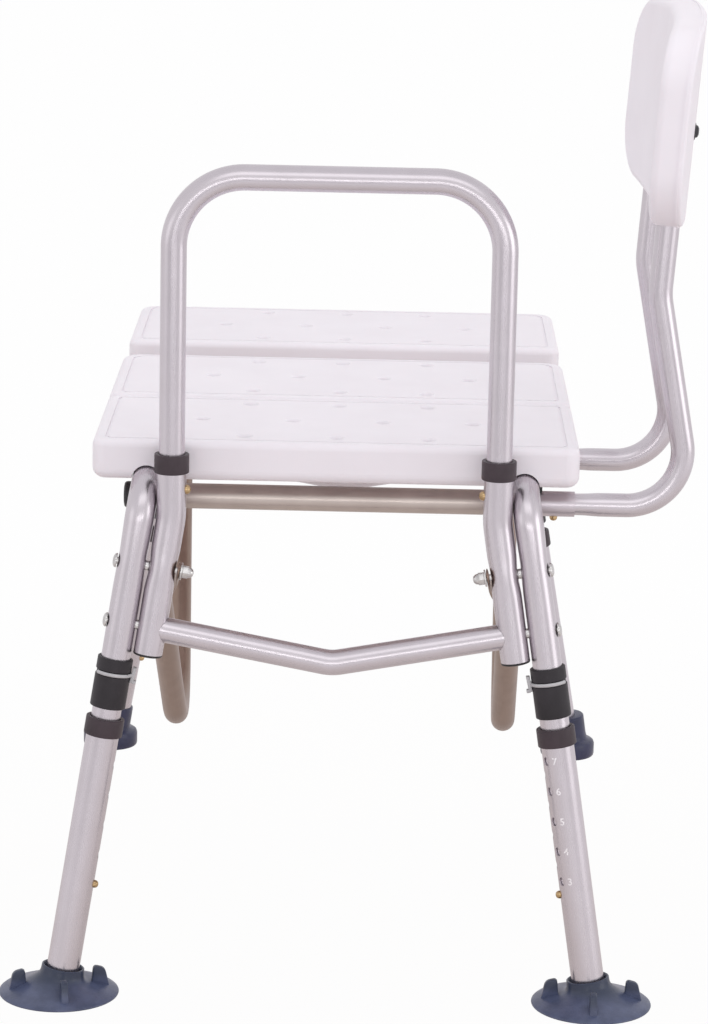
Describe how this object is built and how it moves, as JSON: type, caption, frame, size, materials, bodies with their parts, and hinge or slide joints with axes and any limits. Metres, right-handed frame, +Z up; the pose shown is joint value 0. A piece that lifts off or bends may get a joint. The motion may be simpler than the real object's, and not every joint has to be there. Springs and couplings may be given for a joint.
{
  "type": "tub transfer bench",
  "caption": "Slotted white bath transfer bench with a curtain gap, a backrest, an arm rail, splayed height-adjustable legs, suction cups and rubber boots.",
  "frame": {"origin": "on the floor, at the middle of the bench's plan outline", "axes": "+X along the bench towards the arm rail, +Y from the sitter's knees towards the backrest, +Z up"},
  "size_m": [0.838, 0.599, 0.8553],
  "materials": {
    "white_plastic": "fine satin moulded polyethylene",
    "aluminium_tube": "satin anodised",
    "dark_grey_plastic": "matte moulded",
    "pale_grey_plastic": "matte moulded",
    "black_plastic": "matte moulded",
    "brass": "plain",
    "zinc_steel": "bright zinc plated steel",
    "navy_rubber": "matte"
  },
  "bodies": {
    "frame": {"arm_collar_front": "dark_grey_plastic", "arm_collar_rear": "dark_grey_plastic", "arm_receiver_front": "aluminium_tube", "arm_receiver_rear": "aluminium_tube", "cross_tube_arm_side": "aluminium_tube", "cross_tube_far_side": "aluminium_tube", "cross_tube_plug_arm_side": "black_plastic", "cross_tube_plug_far_side": "black_plastic", "end_brace_arm": "aluminium_tube", "end_brace_far": "aluminium_tube", "frame_tube_front": "aluminium_tube", "frame_tube_rear": "aluminium_tube", "long_brace_front": "aluminium_tube", "long_brace_rear": "aluminium_tube", "lower_bolt_arm_front": "zinc_steel", "lower_bolt_arm_rear": "zinc_steel", "lower_bolt_far_front": "zinc_steel", "lower_bolt_far_rear": "zinc_steel", "receiver_plug_front": "black_plastic", "receiver_plug_rear": "black_plastic", "ring_clip_arm_front": "pale_grey_plastic", "ring_clip_arm_rear": "pale_grey_plastic", "ring_clip_far_front": "pale_grey_plastic", "ring_clip_far_rear": "pale_grey_plastic", "seat_panel_arm_end": "white_plastic", "seat_panel_far_end": "white_plastic", "seat_panel_middle": "white_plastic", "upper_bolt_arm_front": "zinc_steel", "upper_bolt_arm_rear": "zinc_steel", "upper_bolt_far_front": "zinc_steel", "upper_bolt_far_rear": "zinc_steel", "upper_collar_arm_front": "dark_grey_plastic", "upper_collar_arm_rear": "dark_grey_plastic", "upper_collar_far_front": "dark_grey_plastic", "upper_collar_far_rear": "dark_grey_plastic"},
    "leg_arm_front": {"lower_leg_arm_front": "aluminium_tube", "lower_collar_arm_front": "dark_grey_plastic", "suction_cup_front": "navy_rubber"},
    "leg_arm_rear": {"lower_leg_arm_rear": "aluminium_tube", "lower_collar_arm_rear": "dark_grey_plastic", "suction_cup_rear": "navy_rubber"},
    "leg_far_front": {"lower_leg_far_front": "aluminium_tube", "lower_collar_far_front": "dark_grey_plastic", "rubber_boot_front": "navy_rubber"},
    "leg_far_rear": {"lower_leg_far_rear": "aluminium_tube", "lower_collar_far_rear": "dark_grey_plastic", "rubber_boot_rear": "navy_rubber"},
    "arm": {"arm_rail": "aluminium_tube"},
    "backrest": {"backrest_panel": "white_plastic", "backrest_tube_arm_side": "aluminium_tube", "backrest_tube_far_side": "aluminium_tube"},
    "snap_leg_arm_front": {"leg_button_arm_front": "brass"},
    "snap_leg_arm_rear": {"leg_button_arm_rear": "brass"},
    "snap_leg_far_front": {"leg_button_far_front": "brass"},
    "snap_leg_far_rear": {"leg_button_far_rear": "brass"},
    "snap_arm_front": {"arm_button_front": "brass"},
    "snap_arm_rear": {"arm_button_rear": "brass"},
    "snap_backrest_arm_side": {"backrest_button_arm_side": "brass"},
    "snap_backrest_far_side": {"backrest_button_far_side": "brass"}
  },
  "joints": [
    {"name": "leg_height_arm_front", "type": "slide", "parent": "frame", "child": "leg_arm_front", "axis": [0.0592, -0.1539, -0.9863], "range_m": [0, 0.1215]},
    {"name": "leg_height_arm_rear", "type": "slide", "parent": "frame", "child": "leg_arm_rear", "axis": [0.0592, 0.1539, -0.9863], "range_m": [0, 0.1215]},
    {"name": "leg_height_far_front", "type": "slide", "parent": "frame", "child": "leg_far_front", "axis": [-0.0589, -0.1768, -0.9825], "range_m": [0, 0.1215]},
    {"name": "leg_height_far_rear", "type": "slide", "parent": "frame", "child": "leg_far_rear", "axis": [-0.0589, 0.1768, -0.9825], "range_m": [0, 0.1215]},
    {"name": "arm_lift_off", "type": "slide", "parent": "frame", "child": "arm", "axis": [0, 0, 1], "range_m": [0, 0.06]},
    {"name": "backrest_pull_out", "type": "slide", "parent": "frame", "child": "backrest", "axis": [0, 1, 0], "range_m": [0, 0.12]},
    {"name": "snap_leg_arm_front_press", "type": "slide", "parent": "frame", "child": "snap_leg_arm_front", "axis": [-0.0092, -0.9881, 0.1536], "range_m": [0, 0.004], "stiffness_N_per_m": 1200, "springref_m": -0.002, "deforming": ["leg_button_arm_front"]},
    {"name": "snap_leg_arm_rear_press", "type": "slide", "parent": "frame", "child": "snap_leg_arm_rear", "axis": [-0.0092, 0.9881, 0.1536], "range_m": [0, 0.004], "stiffness_N_per_m": 1200, "springref_m": -0.002, "deforming": ["leg_button_arm_rear"]},
    {"name": "snap_leg_far_front_press", "type": "slide", "parent": "frame", "child": "snap_leg_far_front", "axis": [0.0106, -0.9842, 0.1765], "range_m": [0, 0.004], "stiffness_N_per_m": 1200, "springref_m": -0.002, "deforming": ["leg_button_far_front"]},
    {"name": "snap_leg_far_rear_press", "type": "slide", "parent": "frame", "child": "snap_leg_far_rear", "axis": [0.0106, 0.9842, 0.1765], "range_m": [0, 0.004], "stiffness_N_per_m": 1200, "springref_m": -0.002, "deforming": ["leg_button_far_rear"]},
    {"name": "snap_arm_front_press", "type": "slide", "parent": "arm", "child": "snap_arm_front", "axis": [0, -1, 0], "range_m": [0, 0.004], "stiffness_N_per_m": 1200, "springref_m": -0.002, "deforming": ["arm_button_front"]},
    {"name": "snap_arm_rear_press", "type": "slide", "parent": "arm", "child": "snap_arm_rear", "axis": [0, 1, 0], "range_m": [0, 0.004], "stiffness_N_per_m": 1200, "springref_m": -0.002, "deforming": ["arm_button_rear"]},
    {"name": "snap_backrest_arm_side_press", "type": "slide", "parent": "backrest", "child": "snap_backrest_arm_side", "axis": [0, 0, 1], "range_m": [0, 0.004], "stiffness_N_per_m": 1200, "springref_m": -0.002, "deforming": ["backrest_button_arm_side"]},
    {"name": "snap_backrest_far_side_press", "type": "slide", "parent": "backrest", "child": "snap_backrest_far_side", "axis": [0, 0, 1], "range_m": [0, 0.004], "stiffness_N_per_m": 1200, "springref_m": -0.002, "deforming": ["backrest_button_far_side"]}
  ]
}
